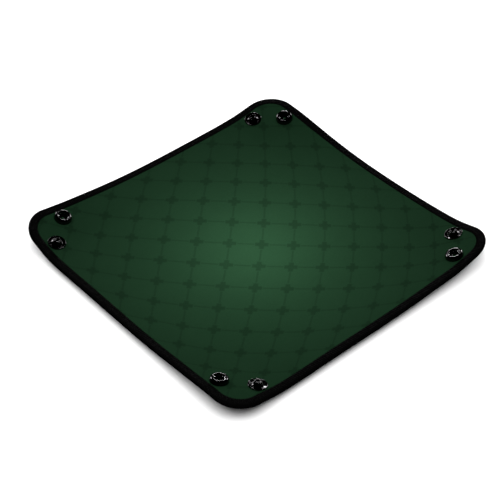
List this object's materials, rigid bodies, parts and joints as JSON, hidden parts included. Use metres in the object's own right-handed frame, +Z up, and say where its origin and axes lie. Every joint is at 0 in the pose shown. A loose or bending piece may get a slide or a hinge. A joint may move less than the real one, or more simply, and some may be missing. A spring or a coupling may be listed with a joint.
{
  "type": "folding dice tray",
  "caption": "Square soft dice mat with stitched edging, whose corners pinch and snap together so that its rim folds up into tray walls.",
  "frame": {"origin": "centre of the floor's underside, which rests on the table", "axes": "+Z up; X and Y square to the walls, with the right wall towards +X and the back wall towards +Y"},
  "size_m": [0.2794, 0.2794, 0.0169],
  "materials": {
    "printed_cloth": "fine knit polyester, printed",
    "foam_rubber": "matte, fine waffle texture",
    "stitched_edging": "overlocked thread",
    "snap_metal": "polished black nickel",
    "spring_steel": "bright wire"
  },
  "bodies": {
    "floor": {"floor_cloth": "printed_cloth", "floor_base": "foam_rubber"},
    "right_wall": {"right_wall_cloth": "printed_cloth", "right_wall_base": "foam_rubber", "right_wall_edging": "stitched_edging"},
    "back_wall": {"back_wall_cloth": "printed_cloth", "back_wall_base": "foam_rubber", "back_wall_edging": "stitched_edging"},
    "left_wall": {"left_wall_cloth": "printed_cloth", "left_wall_base": "foam_rubber", "left_wall_edging": "stitched_edging"},
    "front_wall": {"front_wall_cloth": "printed_cloth", "front_wall_base": "foam_rubber", "front_wall_edging": "stitched_edging"},
    "socket_flap_1": {"socket_flap_1_cloth": "printed_cloth", "socket_flap_1_base": "foam_rubber", "socket_flap_1_edging": "stitched_edging", "socket_1": "snap_metal", "socket_spring_1": "spring_steel", "socket_cap_1": "snap_metal"},
    "stud_flap_1": {"stud_flap_1_cloth": "printed_cloth", "stud_flap_1_base": "foam_rubber", "stud_flap_1_edging": "stitched_edging", "stud_1": "snap_metal", "stud_eyelet_1": "snap_metal"},
    "socket_flap_2": {"socket_flap_2_cloth": "printed_cloth", "socket_flap_2_base": "foam_rubber", "socket_flap_2_edging": "stitched_edging", "socket_2": "snap_metal", "socket_spring_2": "spring_steel", "socket_cap_2": "snap_metal"},
    "stud_flap_2": {"stud_flap_2_cloth": "printed_cloth", "stud_flap_2_base": "foam_rubber", "stud_flap_2_edging": "stitched_edging", "stud_2": "snap_metal", "stud_eyelet_2": "snap_metal"},
    "socket_flap_3": {"socket_flap_3_cloth": "printed_cloth", "socket_flap_3_base": "foam_rubber", "socket_flap_3_edging": "stitched_edging", "socket_3": "snap_metal", "socket_spring_3": "spring_steel", "socket_cap_3": "snap_metal"},
    "stud_flap_3": {"stud_flap_3_cloth": "printed_cloth", "stud_flap_3_base": "foam_rubber", "stud_flap_3_edging": "stitched_edging", "stud_3": "snap_metal", "stud_eyelet_3": "snap_metal"},
    "socket_flap_4": {"socket_flap_4_cloth": "printed_cloth", "socket_flap_4_base": "foam_rubber", "socket_flap_4_edging": "stitched_edging", "socket_4": "snap_metal", "socket_spring_4": "spring_steel", "socket_cap_4": "snap_metal"},
    "stud_flap_4": {"stud_flap_4_cloth": "printed_cloth", "stud_flap_4_base": "foam_rubber", "stud_flap_4_edging": "stitched_edging", "stud_4": "snap_metal", "stud_eyelet_4": "snap_metal"}
  },
  "joints": [
    {"name": "right_wall_fold", "type": "hinge", "parent": "floor", "child": "right_wall", "pos_m": [0.1, 0, 0.0015], "axis": [0, -1, 0], "range_deg": [0, 79]},
    {"name": "back_wall_fold", "type": "hinge", "parent": "floor", "child": "back_wall", "pos_m": [0, 0.1, 0.0015], "axis": [1, 0, 0], "range_deg": [0, 79]},
    {"name": "left_wall_fold", "type": "hinge", "parent": "floor", "child": "left_wall", "pos_m": [-0.1, 0, 0.0015], "axis": [0, 1, 0], "range_deg": [0, 79]},
    {"name": "front_wall_fold", "type": "hinge", "parent": "floor", "child": "front_wall", "pos_m": [0, -0.1, 0.0015], "axis": [-1, 0, 0], "range_deg": [0, 79]},
    {"name": "socket_flap_1_fold", "type": "hinge", "parent": "right_wall", "child": "socket_flap_1", "pos_m": [0.1, 0.09463, 0.0015], "axis": [-0.9816, 0, -0.1908], "range_deg": [0, 56]},
    {"name": "stud_flap_1_fold", "type": "hinge", "parent": "socket_flap_1", "child": "stud_flap_1", "pos_m": [0.09909, 0.09918, 0.00617], "axis": [0.6684, 0.6941, 0.2674], "range_deg": [0, 179]},
    {"name": "socket_flap_2_fold", "type": "hinge", "parent": "back_wall", "child": "socket_flap_2", "pos_m": [-0.09463, 0.1, 0.0015], "axis": [0, -0.9816, -0.1908], "range_deg": [0, 56]},
    {"name": "stud_flap_2_fold", "type": "hinge", "parent": "socket_flap_2", "child": "stud_flap_2", "pos_m": [-0.09918, 0.09909, 0.00617], "axis": [-0.6941, 0.6684, 0.2674], "range_deg": [0, 179]},
    {"name": "socket_flap_3_fold", "type": "hinge", "parent": "left_wall", "child": "socket_flap_3", "pos_m": [-0.1, -0.09463, 0.0015], "axis": [0.9816, 0, -0.1908], "range_deg": [0, 56]},
    {"name": "stud_flap_3_fold", "type": "hinge", "parent": "socket_flap_3", "child": "stud_flap_3", "pos_m": [-0.09909, -0.09918, 0.00617], "axis": [-0.6684, -0.6941, 0.2674], "range_deg": [0, 179]},
    {"name": "socket_flap_4_fold", "type": "hinge", "parent": "front_wall", "child": "socket_flap_4", "pos_m": [0.09463, -0.1, 0.0015], "axis": [0, 0.9816, -0.1908], "range_deg": [0, 56]},
    {"name": "stud_flap_4_fold", "type": "hinge", "parent": "socket_flap_4", "child": "stud_flap_4", "pos_m": [0.09918, -0.09909, 0.00617], "axis": [0.6941, -0.6684, 0.2674], "range_deg": [0, 179]}
  ],
  "couplings": [
    {"joint": "back_wall_fold", "follows": "right_wall_fold", "ratio": 1},
    {"joint": "left_wall_fold", "follows": "right_wall_fold", "ratio": 1},
    {"joint": "front_wall_fold", "follows": "right_wall_fold", "ratio": 1},
    {"joint": "socket_flap_1_fold", "follows": "right_wall_fold", "ratio": 0.70886},
    {"joint": "stud_flap_1_fold", "follows": "right_wall_fold", "ratio": 2.2658},
    {"joint": "socket_flap_2_fold", "follows": "right_wall_fold", "ratio": 0.70886},
    {"joint": "stud_flap_2_fold", "follows": "right_wall_fold", "ratio": 2.2658},
    {"joint": "socket_flap_3_fold", "follows": "right_wall_fold", "ratio": 0.70886},
    {"joint": "stud_flap_3_fold", "follows": "right_wall_fold", "ratio": 2.2658},
    {"joint": "socket_flap_4_fold", "follows": "right_wall_fold", "ratio": 0.70886},
    {"joint": "stud_flap_4_fold", "follows": "right_wall_fold", "ratio": 2.2658}
  ]
}
